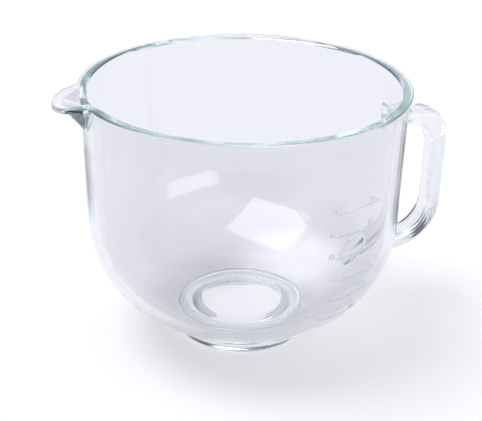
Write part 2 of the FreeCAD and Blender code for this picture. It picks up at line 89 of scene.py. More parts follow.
# Spout, and the beak that carries it down into the wall
SPOUT_NOSE = 25.0
SPOUT_FLANK = 16.0
SPOUT_DIP = 3.5
BEAK_INSET = 2.2
BEAK_ROOT_HEIGHT = 158.0
BEAK_ROOT_INSET = 1.5
BEAK_ROOT_RADIUS = 5.0
BEAK_BLEND = 1.1
PLAIN_WALL_TOP = 150.0

# Handle
HANDLE_WIDTH = 19.0
HANDLE_THICKNESS = 11.0
HANDLE_TOP = 152.0
HANDLE_BEND = 20.0
GRIP_END = 80.0
LOWER_BEND = 25.0
LOWER_SLOPE = math.radians(18.0)
HANDLE_EDGE_ROUND = 4.6
HANDLE_ROOT_ROUND = 4.0
ROOT_DEPTHS = (1.2, 2.5)

# How finely the turned form is divided: steps along its outline, and sections round its axis,
# which lie closer together in the spout's sector
FLOOR_STEPS = 10
INNER_BELLY_STEPS = 60
INNER_WALL_STEPS = 30
MOUTH_STEPS = 8
RIM_TOP_STEPS = 14
RIM_EDGE_STEPS = 6
UNDER_RIM_STEPS = 3
BEAK_STEPS = 28
PLAIN_WALL_STEPS = 20
OUTER_BELLY_STEPS = 64
COVE_STEPS = 16
FOOT_RUN_STEPS = 3
FOOT_ROUND_STEPS = (6, 10, 6, 8)
HOLLOW_STEPS = 10
SPOUT_STEPS = 40
SPOUT_SECTOR = math.radians(19)
SPOUT_SECTIONS = 77
OTHER_SECTIONS = 171

# How finely the handle is divided, and how far along its arms their meeting with the wall is
# looked for. The fillet stops just short of lying flat on the wall.
HANDLE_CORNER_STEPS = 8
HANDLE_FLAT_STEPS = 4
HANDLE_ARM_STEPS = 8
UPPER_BEND_STEPS = 32
GRIP_STEPS = 15
LOWER_BEND_STEPS = 24
FILLET_STEPS = 10
FILLET_SHARE = 0.97
ROOT_SEARCH = -80.0
ROOT_HALVINGS = 50

# Edges that turn by more than this keep their sharp line in the smooth shading
SHARP_ANGLE = math.radians(40)

MOUTH_RADIUS = RIM_RADIUS - RIM_WIDTH
UNDER_RIM = HEIGHT - RIM_DEPTH
INNER_RADIUS = BELLY_RADIUS - BELLY_WALL
FLOOR_HEIGHT = BELLY_CENTRE[1] - INNER_RADIUS


# Sections of the turned form

def steps(first, last, count):
    """Even steps from one number or point to another, without the first."""
    return np.linspace(first, last, count + 1)[1:]


def arc(centre, radius, first, last, count):
    """Points on a circular arc, angles in degrees, without the first one."""
    angles = np.radians(steps(first, last, count))
    return np.column_stack([centre[0] + radius * np.cos(angles), centre[1] + radius * np.sin(angles)])


def swung(first, last, turn, share):
    """Part of the even turn from one direction to another."""
    return (np.sin((1 - share) * turn) * first + np.sin(share * turn) * last) / math.sin(turn)


def rounded_corner(start, corner, end, radius, count):
    """A straight run from start toward a corner, and the arc that rounds it on the way to end."""
    corner, end = np.array(corner, float), np.array(end, float)
    back = np.array(start) - corner
    along = end - corner
    back, along = back / np.linalg.norm(back), along / np.linalg.norm(along)
    half = math.acos(float(np.clip(back @ along, -1, 1))) / 2
    leave = corner + back * radius / math.tan(half)
    arrive = corner + along * radius / math.tan(half)
    middle = corner + (back + along) / np.linalg.norm(back + along) * radius / math.sin(half)
    bend = swung(leave - middle, arrive - middle, math.pi - 2 * half, steps(0, 1, count)[:, None])
    return np.vstack([steps(start, leave, FOOT_RUN_STEPS), middle + bend])


def wall_tangent(radius, point):
    """Where the line from a point above touches the belly's circle of that radius, and the angle."""
    across, up = point[0] - BELLY_CENTRE[0], point[1] - BELLY_CENTRE[1]
    angle = math.atan2(up, across) - math.acos(radius / math.hypot(across, up))
    touch = (BELLY_CENTRE[0] + radius * math.cos(angle), BELLY_CENTRE[1] + radius * math.sin(angle))
    return touch, angle


OUTER_TOUCH, OUTER_ANGLE = wall_tangent(BELLY_RADIUS, (WALL_TOP_RADIUS, UNDER_RIM))
INNER_TOUCH, INNER_ANGLE = wall_tangent(INNER_RADIUS, (MOUTH_RADIUS, HEIGHT))
INNER_SLOPE = math.atan2(MOUTH_RADIUS - INNER_TOUCH[0], HEIGHT - INNER_TOUCH[1])


def spout_outline(rim, reach, nose, flank):
    """Half of a spout's outline in plan, from its tip to where it leaves the rim's circle: a round
    nose and a hollow flank that runs out along the rim."""
    centre = reach - nose
    spoke = rim + flank
    along = (spoke**2 - (nose + flank) ** 2 + centre**2) / (2 * centre)
    aside = math.sqrt(spoke**2 - along**2)
    nose_half = math.degrees(math.atan2(aside, along - centre))
    rim_half = math.degrees(math.atan2(aside, along))
    tip = arc((centre, 0), nose, 0, nose_half, SPOUT_STEPS)
    side = arc((along, aside), flank, 180 + nose_half, 180 + rim_half, SPOUT_STEPS)
    return np.vstack([[(reach, 0)], tip, side])


LIP_OUTLINE = spout_outline(RIM_RADIUS, SPOUT_REACH, SPOUT_NOSE, SPOUT_FLANK)
BEAK_TOP = spout_outline(RIM_RADIUS - BEAK_INSET, SPOUT_REACH - BEAK_INSET,
                         SPOUT_NOSE - BEAK_INSET, SPOUT_FLANK + BEAK_INSET)
BEAK_ROOT = spout_outline(MOUTH_RADIUS - BEAK_ROOT_INSET, WALL_TOP_RADIUS - BEAK_ROOT_INSET,
                          BEAK_ROOT_RADIUS, BEAK_ROOT_RADIUS)
BEAK_TOP_HEIGHT = HEIGHT - RIM_DEPTH / 2
SPOUT_HALF_WIDTH = LIP_OUTLINE[-1, 1]
DIP_RADIUS = SPOUT_HALF_WIDTH / (2 * math.sin(2 * math.atan(SPOUT_DIP / SPOUT_HALF_WIDTH)))


def polar_radius(outline, azimuth, beyond):
    """Distance from the axis to an outline at an azimuth, or the value beyond its end."""
    angles = np.arctan2(outline[:, 1], outline[:, 0])
    return float(np.interp(abs(azimuth), angles, np.hypot(outline[:, 0], outline[:, 1]), right=beyond))


def rim_drop(radius, azimuth):
    """Drop of the rim below its level, which three tangent arcs lead down to the spout's middle."""
    if math.cos(azimuth) <= 0:
        return np.zeros_like(np.asarray(radius, float))
    aside = np.minimum(np.abs(radius * math.sin(azimuth)), SPOUT_HALF_WIDTH)
    outer = DIP_RADIUS - np.sqrt(DIP_RADIUS**2 - (SPOUT_HALF_WIDTH - aside) ** 2)
    inner = SPOUT_DIP - DIP_RADIUS + np.sqrt(DIP_RADIUS**2 - aside**2)
    return np.where(aside > SPOUT_HALF_WIDTH / 2, outer, inner)


def belly_reach(radius, height):
    """Distance from the axis to the belly's circle of that radius."""
    return BELLY_CENTRE[0] + math.sqrt(radius**2 - (height - BELLY_CENTRE[1]) ** 2)


def inner_wall_radius(height):
    """Inside radius of the straight wall."""
    return INNER_TOUCH[0] + (height - INNER_TOUCH[1]) * math.tan(INNER_SLOPE)


def outer_wall_radius(heights):
    """Outside radius of the straight wall."""
    share = (heights - OUTER_TOUCH[1]) / (UNDER_RIM - OUTER_TOUCH[1])
    return OUTER_TOUCH[0] + (WALL_TOP_RADIUS - OUTER_TOUCH[0]) * share


def beak_radius(azimuth, height):
    """Outside radius of the beak, or zero below it."""
    share = (BEAK_TOP_HEIGHT - height) / (BEAK_TOP_HEIGHT - BEAK_ROOT_HEIGHT)
    if share > 1:
        return 0.0
    return polar_radius(BEAK_TOP + (BEAK_ROOT - BEAK_TOP) * share, azimuth, 0.0)


def outside_radius(azimuth, heights):
    """Wall and beak together, blended where they meet."""
    wall = outer_wall_radius(heights)
    beak = np.array([beak_radius(azimuth, height) for height in heights])
    overlap = np.maximum(BEAK_BLEND - np.abs(wall - beak), 0) / BEAK_BLEND
    return np.maximum(wall, beak) + overlap**2 * BEAK_BLEND / 4


def floor_and_inner_belly():
    """Inside of the bowl from beside the axis to the foot of the straight wall."""
    radii = steps(0, BELLY_CENTRE[0], FLOOR_STEPS)
    floor = np.column_stack([radii, np.full(FLOOR_STEPS, FLOOR_HEIGHT)])
    belly = arc(BELLY_CENTRE, INNER_RADIUS, -90, math.degrees(INNER_ANGLE), INNER_BELLY_STEPS)
    return np.vstack([floor, belly])


def inner_wall(azimuth):
    """Straight inside of the wall, and the rounding where it turns into the rim."""
    height = HEIGHT - float(rim_drop(MOUTH_RADIUS + MOUTH_ROUND, azimuth)) - MOUTH_ROUND
    centre = (inner_wall_radius(height) + MOUTH_ROUND / math.cos(INNER_SLOPE), height)
    turn = arc(centre, MOUTH_ROUND, 180 - math.degrees(INNER_SLOPE), 90, MOUTH_STEPS)
    end = (centre[0] - MOUTH_ROUND * math.cos(INNER_SLOPE), height + MOUTH_ROUND * math.sin(INNER_SLOPE))
    return np.vstack([steps(INNER_TOUCH, end, INNER_WALL_STEPS), turn])


def rim(azimuth, start):
    """Top of the rim from a radius outward, its two rounded edges, and its underside."""
    edge = polar_radius(LIP_OUTLINE, azimuth, RIM_RADIUS) - RIM_EDGE_ROUND
    top = HEIGHT - float(rim_drop(edge, azimuth))
    low = top - RIM_DEPTH
    top_radii = steps(start, edge, RIM_TOP_STEPS)
    wall = float(outside_radius(azimuth, np.array([low]))[0])
    under_radii = steps(edge, wall, UNDER_RIM_STEPS)
    return np.vstack([
        np.column_stack([top_radii, HEIGHT - rim_drop(top_radii, azimuth)]),
        arc((edge, top - RIM_EDGE_ROUND), RIM_EDGE_ROUND, 90, 0, RIM_EDGE_STEPS),
        arc((edge, low + RIM_EDGE_ROUND), RIM_EDGE_ROUND, 0, -90, RIM_EDGE_STEPS),
        np.column_stack([under_radii, UNDER_RIM - rim_drop(under_radii, azimuth)]),
    ])


def outer_wall(azimuth, top):
    """Outside of the wall, with the beak in its upper stretch."""
    upper = steps(top, PLAIN_WALL_TOP, BEAK_STEPS)
    lower = steps(PLAIN_WALL_TOP, OUTER_TOUCH[1], PLAIN_WALL_STEPS)
    return np.vstack([
        np.column_stack([outside_radius(azimuth, upper), upper]),
        np.column_stack([outer_wall_radius(lower), lower]),
    ])


def outer_belly_and_foot():
    """Outside of the belly, the cove above the ring, the ring, and the hollow up to beside the axis."""
    cove_radius = FOOT_WAIST_RADIUS + FOOT_COVE_RADIUS
    below = math.sqrt((BELLY_RADIUS + FOOT_COVE_RADIUS) ** 2 - (cove_radius - BELLY_CENTRE[0]) ** 2)
    cove = (cove_radius, BELLY_CENTRE[1] - below)
    toward = math.degrees(math.atan2(-below, cove_radius - BELLY_CENTRE[0]))
    lines = [
        arc(BELLY_CENTRE, BELLY_RADIUS, math.degrees(OUTER_ANGLE), toward, OUTER_BELLY_STEPS),
        arc(cove, FOOT_COVE_RADIUS, toward + 180, 270, COVE_STEPS),
    ]
    hollow_middle = (0, HOLLOW_DEPTH)
    corners = (
        (FOOT_RADIUS, cove[1] - FOOT_COVE_RADIUS),
        (FOOT_RADIUS, 0),
        (HOLLOW_RADIUS, 0),
        (HOLLOW_TOP_RADIUS, HOLLOW_DEPTH),
        hollow_middle,
    )
    rounds = (FOOT_TOP_ROUND, FOOT_EDGE_ROUND, HOLLOW_EDGE_ROUND, HOLLOW_ROUND)
    for corner, end, radius, count in zip(corners, corners[1:], rounds, FOOT_ROUND_STEPS):
        lines.append(rounded_corner(lines[-1][-1], corner, end, radius, count))
    lines.append(steps(lines[-1][-1], hollow_middle, HOLLOW_STEPS)[:-1])
    return np.vstack(lines)


INSIDE = floor_and_inner_belly()
OUTSIDE = outer_belly_and_foot()


def section(azimuth):
    """The glass at one azimuth from the spout's middle: a line of (radius, height) points from the
    inside of the floor, over the rim, to the middle of the foot's hollow."""
    wall_inside = inner_wall(azimuth)
    rim_line = rim(azimuth, wall_inside[-1, 0])
    wall_outside = outer_wall(azimuth, rim_line[-1, 1])
    return np.vstack([INSIDE, wall_inside, rim_line, wall_outside, OUTSIDE])


def bowl_mesh():
    """The turned form with its spout, as points and faces."""
    spout = np.linspace(-SPOUT_SECTOR, SPOUT_SECTOR, SPOUT_SECTIONS)
    others = np.linspace(SPOUT_SECTOR, 2 * math.pi - SPOUT_SECTOR, OTHER_SECTIONS + 2)[1:-1]
    azimuths = np.concatenate([spout, others])
    sections = np.array([section(azimuth) for azimuth in azimuths])
    count, size = sections.shape[:2]
    x = -sections[:, :, 0] * np.cos(azimuths)[:, None]
    y = sections[:, :, 0] * np.sin(azimuths)[:, None]
    points = np.stack([x, y, sections[:, :, 1]], axis=2).reshape(-1, 3)
    floor_middle = len(points)
    hollow_middle = floor_middle + 1
    points = np.vstack([points, [[0, 0, FLOOR_HEIGHT], [0, 0, HOLLOW_DEPTH]]])
    faces = []
    for index in range(count):
        a, b = index * size, (index + 1) % count * size
        faces.append((floor_middle, b, a))
        faces.extend((a + k, b + k, b + k + 1, a + k + 1) for k in range(size - 1))
        faces.append((hollow_middle, a + size - 1, b + size - 1))
    return points, faces


# Handle

def direction(angle):
    """Unit vector at an angle in a plane."""
    return np.array([math.cos(angle), math.sin(angle)])


def wall_distance(point):
    """Signed distance from the bowl's outside, and the outward direction there."""
    radius = math.hypot(point[0], point[1])
    across, up = radius - BELLY_CENTRE[0], point[2] - BELLY_CENTRE[1]
    if math.atan2(up, across) < OUTER_ANGLE:
        reach = math.hypot(across, up)
        normal = (across / reach, up / reach)
        distance = reach - BELLY_RADIUS
    else:
        normal = direction(OUTER_ANGLE)
        distance = across * normal[0] + up * normal[1] - BELLY_RADIUS
    return distance, np.array([point[0] / radius * normal[0], point[1] / radius * normal[0], normal[1]])


def handle_section(half_thickness):
    """Outline of the handle's section and its outward directions: (through, across) pairs."""
    radius = HANDLE_EDGE_ROUND
    flats = np.array([half_thickness - radius, HANDLE_WIDTH / 2 - radius])
    corners = np.array([(1, 1), (-1, 1), (-1, -1), (1, -1)]) * flats
    points, normals = [], []
    for quarter, (corner, following) in enumerate(zip(corners, np.roll(corners, -1, axis=0))):
        for share in np.linspace(0, 1, HANDLE_CORNER_STEPS + 1):
            normal = direction((quarter + share) * math.pi / 2)
            points.append(corner + radius * normal)
            normals.append(normal)
        for share in steps(0, 1, HANDLE_FLAT_STEPS)[:-1]:
            points.append(corner + (following - corner) * share + radius * normal)
            normals.append(normal)
    return np.array(points), np.array(normals)


def in_space(pairs, through):
    """(through, across) pairs turned into directions in space."""
    return np.column_stack([pairs[:, 0] * through[0], pairs[:, 1], pairs[:, 0] * through[1]])


def handle_ring(middle, through, half_thickness):
    """The section's points round a point of the handle's middle plane."""
    points, _ = handle_section(half_thickness)
    return in_space(points, through) + (middle[0], 0, middle[1])


def root_contact(point, along, normal):
    """Where the root's fillet leaves a line of the arm: there a ball that rests on the arm touches
    the wall as well."""
    low, high = ROOT_SEARCH, 0.0
    for _ in range(ROOT_HALVINGS):
        tried = (low + high) / 2
        ball = point + along * tried + normal * HANDLE_ROOT_ROUND
        if wall_distance(ball)[0] < HANDLE_ROOT_ROUND:
            low = tried
        else:
            high = tried
    return point + along * high


def root_fillet(contact, normal):
    """Points from the arm down the fillet, and on into the wall."""
    ball = contact + normal * HANDLE_ROOT_ROUND
    _, wall_normal = wall_distance(ball)
    turn = math.acos(float(np.clip(normal @ wall_normal, -1, 1)))
    shares = steps(0, FILLET_SHARE, FILLET_STEPS)
    fillet = [ball - HANDLE_ROOT_ROUND * swung(normal, wall_normal, turn, share) for share in shares]
    end = ball - HANDLE_ROOT_ROUND * wall_normal
    return fillet + [end - depth * wall_normal for depth in ROOT_DEPTHS]


def handle_arm(middle, outward, through):
    """Rings of one arm from its outer end into the wall, and the middle of the last one's face.
    middle is a point on the arm's middle line and outward its direction away from the bowl."""
    base = handle_ring(middle, through, HANDLE_THICKNESS / 2)
    _, pairs = handle_section(HANDLE_THICKNESS / 2)
    normals = in_space(pairs, through)
    along = np.array([outward[0], 0, outward[1]])
    contacts = np.array([root_contact(point, along, normal) for point, normal in zip(base, normals)])
    fillets = np.array([root_fillet(contact, normal) for contact, normal in zip(contacts, normals)])
    rings = [base + (contacts - base) * share for share in steps(0, 1, HANDLE_ARM_STEPS)]
    rings += list(fillets.transpose(1, 0, 2))
    end = rings[-1].mean(axis=0)
    distance, wall_normal = wall_distance(end)
    return rings, end - (distance + ROOT_DEPTHS[-1]) * wall_normal


def upper_bend_reach(through):
    """Distance from the centre of the upper bend's inside to the outside, which bends with the same
    radius about a centre of its own."""
    offset = HANDLE_THICKNESS * (through[0] + through[1])
    reach = offset + math.sqrt(offset**2 + HANDLE_BEND**2 - 2 * HANDLE_THICKNESS**2)
    if min(through) * reach >= HANDLE_THICKNESS:
        return reach
    return (HANDLE_BEND + HANDLE_THICKNESS) / max(through)


def tube_faces(count, size):
    """Faces between rings of points that follow each other."""
    faces = []
    for ring in range(count - 1):
        for k in range(size):
            a, b = ring * size + k, ring * size + (k + 1) % size
            faces.append((a, b, b + size, a + size))
    return faces


def handle_mesh():
    """The handle from the upper root round the grip to the lower root, as points and faces."""
    half = HANDLE_THICKNESS / 2
    upper_centre = np.array([HANDLE_REACH, HANDLE_TOP]) - HANDLE_THICKNESS - HANDLE_BEND
    rings = []
    for angle in np.linspace(math.pi / 2, 0, UPPER_BEND_STEPS + 1):
        through = direction(angle)
        reach = upper_bend_reach(through)
        middle = upper_centre + (HANDLE_BEND + reach) / 2 * through
        rings.append(handle_ring(middle, through, (reach - HANDLE_BEND) / 2))
    for height in steps(upper_centre[1], GRIP_END, GRIP_STEPS):
        rings.append(handle_ring((HANDLE_REACH - half, height), (1, 0), half))
    lower_centre = np.array([HANDLE_REACH - HANDLE_THICKNESS - LOWER_BEND, GRIP_END])
    lower_end = LOWER_SLOPE - math.pi / 2
    for angle in steps(0, lower_end, LOWER_BEND_STEPS):
        through = direction(angle)
        rings.append(handle_ring(lower_centre + (LOWER_BEND + half) * through, through, half))
    upper_start = (upper_centre[0], HANDLE_TOP - half)
    lower_start = lower_centre + (LOWER_BEND + half) * direction(lower_end)
    upper, upper_root = handle_arm(upper_start, (1, 0), (0, 1))
    lower, lower_root = handle_arm(lower_start, direction(LOWER_SLOPE), direction(lower_end))
    rings = upper[::-1] + rings + lower
    count, size = len(rings), len(rings[0])
    points = np.vstack([*rings, upper_root, lower_root])
    faces = tube_faces(count, size)
    last_ring = (count - 1) * size
    for k in range(size):
        following = (k + 1) % size
        faces.append((count * size, following, k))
        faces.append((count * size + 1, last_ring + k, last_ring + following))
    return points, faces


def make_object(name, points, faces):
    """An object in the scene from points in millimetres and the faces between them."""
    mesh = bpy.data.meshes.new(name)
    mesh.from_pydata([tuple(point) for point in np.asarray(points) * MM], [], faces)
    mesh.validate()
    shape = bmesh.new()
    shape.from_mesh(mesh)
    bmesh.ops.recalc_face_normals(shape, faces=shape.faces)
    shape.to_mesh(mesh)
    shape.free()
    obj = bpy.data.objects.new(name, mesh)
    bpy.context.scene.collection.objects.link(obj)
    return obj


def glass_bowl():
    """The bowl and its handle in one mesh, shaded smooth with flat faces kept flat."""
    body = make_object("glass_bowl", *bowl_mesh())
    handle = make_object("handle_tool", *handle_mesh())
    union = body.modifiers.new("handle", "BOOLEAN")
    union.operation = "UNION"
    union.solver = "EXACT"
    union.object = handle
    evaluated = body.evaluated_get(bpy.context.evaluated_depsgraph_get())
    joined = bpy.data.meshes.new_from_object(evaluated)
    body.modifiers.clear()
    body.data = joined
    bpy.data.objects.remove(handle)
    for polygon in joined.polygons:
        polygon.use_smooth = True
    joined.set_sharp_from_angle(angle=SHARP_ANGLE)
    flats = body.modifiers.new("flats", "WEIGHTED_NORMAL")
    flats.keep_sharp = True
    return body


bowl = glass_bowl()


# Measuring scale, moulded on the outside of the wall beside the handle
# Azimuths are in degrees from the handle.

LITRE = 1e6
LITRE_MARKS = (0.5, 1.0, 1.5, 2.0, 2.5, 3.0)
DECILITRES = 10
SCALE_LINE = (-75.5, -56.5)
SCALE_LINE_STEPS = 16
LITRE_NUMBER_AT = -60.5
DECILITRE_NUMBER_AT = -77.5
MARK_WIDTH = 0.6
MARK_PROUD = 0.3
MARK_ROOT = 0.1
NUMBER_HEIGHT = 4.6
NUMBER_GAP = 1.6
NUMBER_CURVE_STEPS = 3
FILLING_STEP = 0.1


def filled_height(litres):
    """Height of the surface when the bowl holds that much."""
    height = FLOOR_HEIGHT
    volume = 0.0
    while volume < litres * LITRE:
        middle = height + FILLING_STEP / 2
        below_wall = middle < INNER_TOUCH[1]
        radius = belly_reach(INNER_RADIUS, middle) if below_wall else inner_wall_radius(middle)
        volume += math.pi * radius**2 * FILLING_STEP
        height += FILLING_STEP
    return height


def wall_spot(azimuth, height):
    """Point on the outside of the wall, with the way round, the way up and the way out from there."""
    below_wall = height <= OUTER_TOUCH[1]
    radius = belly_reach(BELLY_RADIUS, height) if below_wall else outer_wall_radius(height)
    angle = math.radians(azimuth)
    point = Vector((radius * math.cos(angle), radius * math.sin(angle), height))
    outward = Vector(wall_distance(point)[1])
    around = Vector((-math.sin(angle), math.cos(angle), 0))
    return point, around, outward.cross(around), outward


def scale_line(height):
    """A thin bar along the wall."""
    half = MARK_WIDTH / 2
    corners = ((-half, -MARK_ROOT), (-half, MARK_PROUD), (half, MARK_PROUD), (half, -MARK_ROOT))
    points = []
    for azimuth in np.linspace(*SCALE_LINE, SCALE_LINE_STEPS + 1):
        point, _, upward, outward = wall_spot(azimuth, height)
        points.extend(point + upward * up + outward * out for up, out in corners)
    size = len(corners)
    faces = tube_faces(SCALE_LINE_STEPS + 1, size)
    faces.append(tuple(range(size)))
    faces.append(tuple(reversed(range(len(points) - size, len(points)))))
    return points, faces


def scale_number(label, azimuth, height):
    """A raised number whose foot stands just over its line."""
    curve = bpy.data.curves.new("number", "FONT")
    curve.body = label
    curve.size = NUMBER_HEIGHT
    curve.align_x = "CENTER"
    curve.extrude = (MARK_PROUD + MARK_ROOT) / 2
    curve.resolution_u = NUMBER_CURVE_STEPS
    obj = bpy.data.objects.new("number", curve)
    bpy.context.scene.collection.objects.link(obj)
    bpy.context.view_layer.update()
    mesh = bpy.data.meshes.new_from_object(obj.evaluated_get(bpy.context.evaluated_depsgraph_get()))
    bpy.data.objects.remove(obj)
    point, around, upward, outward = wall_spot(azimuth, height + NUMBER_GAP)
    lift = (MARK_PROUD - MARK_ROOT) / 2
    places = [vertex.co for vertex in mesh.vertices]
    points = [point + around * co.x + upward * co.y + outward * (co.z + lift) for co in places]
    faces = [tuple(polygon.vertices) for polygon in mesh.polygons]
    bpy.data.meshes.remove(mesh)
    return points, faces


def measuring_scale():
    """A line for each mark, with its litres at one end and its decilitres at the other."""
    pieces = []
    for litres in LITRE_MARKS:
        height = filled_height(litres)
        pieces.append(scale_line(height))
        pieces.append(scale_number("%.1f" % litres, LITRE_NUMBER_AT, height))
        pieces.append(scale_number("%d" % (litres * DECILITRES), DECILITRE_NUMBER_AT, height))
    points, faces = [], []
    for piece_points, piece_faces in pieces:
        shift = len(points)
        points.extend(piece_points)
        faces.extend(tuple(corner + shift for corner in face) for face in piece_faces)
    return make_object("measuring_scale", points, faces)


scale = measuring_scale()


# Materials

GLASS_IOR = 1.5
GLASS_ROUGHNESS = 0.0
GLASS_TINT = (0.85, 0.845, 0.868, 1)
GLASS_DEPTH_COLOUR = (0.45, 0.72, 0.76, 1)
GLASS_DEPTH_DENSITY = 2.6
FOOT_ROUGHNESS = 0.15
FOOT_GROUND_HEIGHT = 0.3 * MM
SCALE_TINT = (0.90, 0.91, 0.95, 1)
SCALE_ROUGHNESS = 0.2


def new_material(name):
    """An empty material, its node tree and its surface output."""
    material = bpy.data.materials.new(name)
    material.use_nodes = True
    material.node_tree.nodes.clear()
    return material, material.node_tree, material.node_tree.nodes.new("ShaderNodeOutputMaterial")


def clear_material(name, tint, roughness):
    """A surface that light passes through, and the output to which it leads."""
    material, tree, output = new_material(name)
    surface = tree.nodes.new("ShaderNodeBsdfPrincipled")
    surface.inputs["Base Color"].default_value = tint
    surface.inputs["Roughness"].default_value = roughness
    surface.inputs["IOR"].default_value = GLASS_IOR
    surface.inputs["Transmission Weight"].default_value = 1.0
    tree.links.new(surface.outputs["BSDF"], output.inputs["Surface"])
    return material, tree, output


def glass_material(name, roughness):
    """Pressed glass: tinted a little by each wall, and teal where it is looked at along its length."""
    material, tree, output = clear_material(name, GLASS_TINT, roughness)
    depth = tree.nodes.new("ShaderNodeVolumeAbsorption")
    depth.inputs["Color"].default_value = GLASS_DEPTH_COLOUR
    depth.inputs["Density"].default_value = GLASS_DEPTH_DENSITY
    tree.links.new(depth.outputs["Volume"], output.inputs["Volume"])
    return material


def scale_material():
    """The slightly frosted look of thin raised marks on polished glass."""
    return clear_material("scale_marks", SCALE_TINT, SCALE_ROUGHNESS)[0]


bowl.data.materials.clear()
bowl.data.materials.append(glass_material("clear_glass", GLASS_ROUGHNESS))
bowl.data.materials.append(glass_material("ground_foot", FOOT_ROUGHNESS))
for polygon in bowl.data.polygons:
    polygon.material_index = int(polygon.center.z < FOOT_GROUND_HEIGHT)
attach(bowl, "root")
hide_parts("bowl")
scale.data.materials.append(scale_material())
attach(scale, "root")


# Studio
# Lights and camera are laid out with the camera on -Y, and turned together so that the handle
# comes to lie on +X.

STUDIO_TURN = Matrix.Rotation(math.radians(-18.0), 4, "Z")

KEY_STRENGTH = 1.0
KEY_SPREAD = math.radians(34.0)
KEY_DIRECTION = (0.46, 0.0, -1.1)
OVERHEAD_BOX = {
    "place": (-0.33, -0.29, 1.12),
    "facing": (0.5, 0.5, -0.7),
    "edge": (0.4, 0.48, 0.62),
    "width": 1.06,
    "depth": 1.06,
    "power": 10.0,
}
SIDE_BOX = {
    "place": (0.73, -0.65, 0.27),
    "facing": (-0.55, 0.67, -0.51),
    "edge": (-0.56, -0.47, -0.03),
    "width": 0.89,
    "depth": 0.32,
    "power": 2.6,
}

FLOOR_HALF_SIZE = 4.0
FLOOR_DROP = 0.1 * MM
FLOOR_COLOUR = (0.92, 0.92, 0.92, 1)
FLOOR_GLOW = 0.43
# Painted shade: the floor's colour turns a little greyer toward the camera, between these distances from
# the axis
FRONT_SHADE_COLOUR = (0.60, 0.605, 0.635, 1)
FRONT_TOWARD = (-0.35, -0.94, 0)
FRONT_FROM = 0.16
FRONT_TO = 0.85
# Light that the glass gathers on the floor: centre, radius of the core, outer radius, brightness
GATHERED_PATCHES = (
    ((0, 0, 0), 0.04, 0.053, 0.56),
    ((0.05, 0.08, 0), 0.015, 0.07, 0.48),
)

WHITE = (1, 1, 1, 1)
ROOM_LIGHT = (0.42, 0.42, 0.48, 1)
UP = (0, 0, 1)
# Soft dark parts of the room: direction, cosine at the edge, cosine at the core, colour
DARK_PARTS = (
    (UP, 0.70, 0.87, (0.35, 0.36, 0.45, 1)),
    ((-0.84, 0.34, 0.42), 0.707, 0.883, (0.02, 0.03, 0.09, 1)),
    ((0.67, 0.25, 0.70), 0.82, 0.95, (0.08, 0.10, 0.18, 1)),
    ((-0.2, -0.96, 0.2), 0.77, 0.93, (0.04, 0.06, 0.11, 1)),
)
# Sines of the height above eye level between which the white sweep gives way to the room
SWEEP_TOP = 0.02
SWEEP_FADED = 0.12

CAMERA_PLACE = (0, -0.6266, 0.3986)
CAMERA_PITCH = math.radians(26.44)
CAMERA_YAW = math.radians(-0.12)
CAMERA_ROLL = math.radians(0.99)
CAMERA_NEAR = 0.01
CAMERA_FAR = 50.0
SENSOR_WIDTH = 36.0
PICTURE_WIDTH = 482
FOCAL_PIXELS = 1000.0
BOUNCES = 64


def feed(tree, value, socket):
    """Gives an input a plain value, or the output of another node."""
    if isinstance(value, bpy.types.NodeSocket):
        tree.links.new(value, socket)
    else:
        socket.default_value = value


def calculated(tree, operation, first, second):
    """A number worked out from two others."""
    node = tree.nodes.new("ShaderNodeMath")
    node.operation = operation
    feed(tree, first, node.inputs[0])
    feed(tree, second, node.inputs[1])
    return node.outputs["Value"]


def compared(tree, operation, running, fixed):
    """A number worked out from a running vector and a fixed one."""
    node = tree.nodes.new("ShaderNodeVectorMath")
    node.operation = operation
    feed(tree, running, node.inputs[0])
    feed(tree, STUDIO_TURN @ Vector(fixed), node.inputs[1])
    return node.outputs["Value"]


def fade(tree, value, first, last, at_first, at_last):
    """Smooth change of a number between two values of another."""
    node = tree.nodes.new("ShaderNodeMapRange")
    node.interpolation_type = "SMOOTHSTEP"
    feed(tree, value, node.inputs["Value"])
    feed(tree, first, node.inputs["From Min"])
    feed(tree, last, node.inputs["From Max"])
    feed(tree, at_first, node.inputs["To Min"])
    feed(tree, at_last, node.inputs["To Max"])
    return node.outputs["Result"]


def mixed(tree, factor, first, second):
    """A colour on the way from one to another."""
    node = tree.nodes.new("ShaderNodeMix")
    node.data_type = "RGBA"
    feed(tree, factor, node.inputs["Factor"])
    feed(tree, first, node.inputs["A"])
    feed(tree, second, node.inputs["B"])
    return node.outputs["Result"]


def sees_background(tree):
    """Factor that is one for rays that show what lies behind things, whether straight, mirrored or
    refracted, and zero for the light that reaches a matte surface."""
    path = tree.nodes.new("ShaderNodeLightPath").outputs
    bent = calculated(tree, "MAXIMUM", path["Is Glossy Ray"], path["Is Transmission Ray"])
    seen = calculated(tree, "MAXIMUM", path["Is Camera Ray"], bent)
    direct = calculated(tree, "SUBTRACT", seen, path["Diffuse Depth"])
    return calculated(tree, "MAXIMUM", direct, 0)


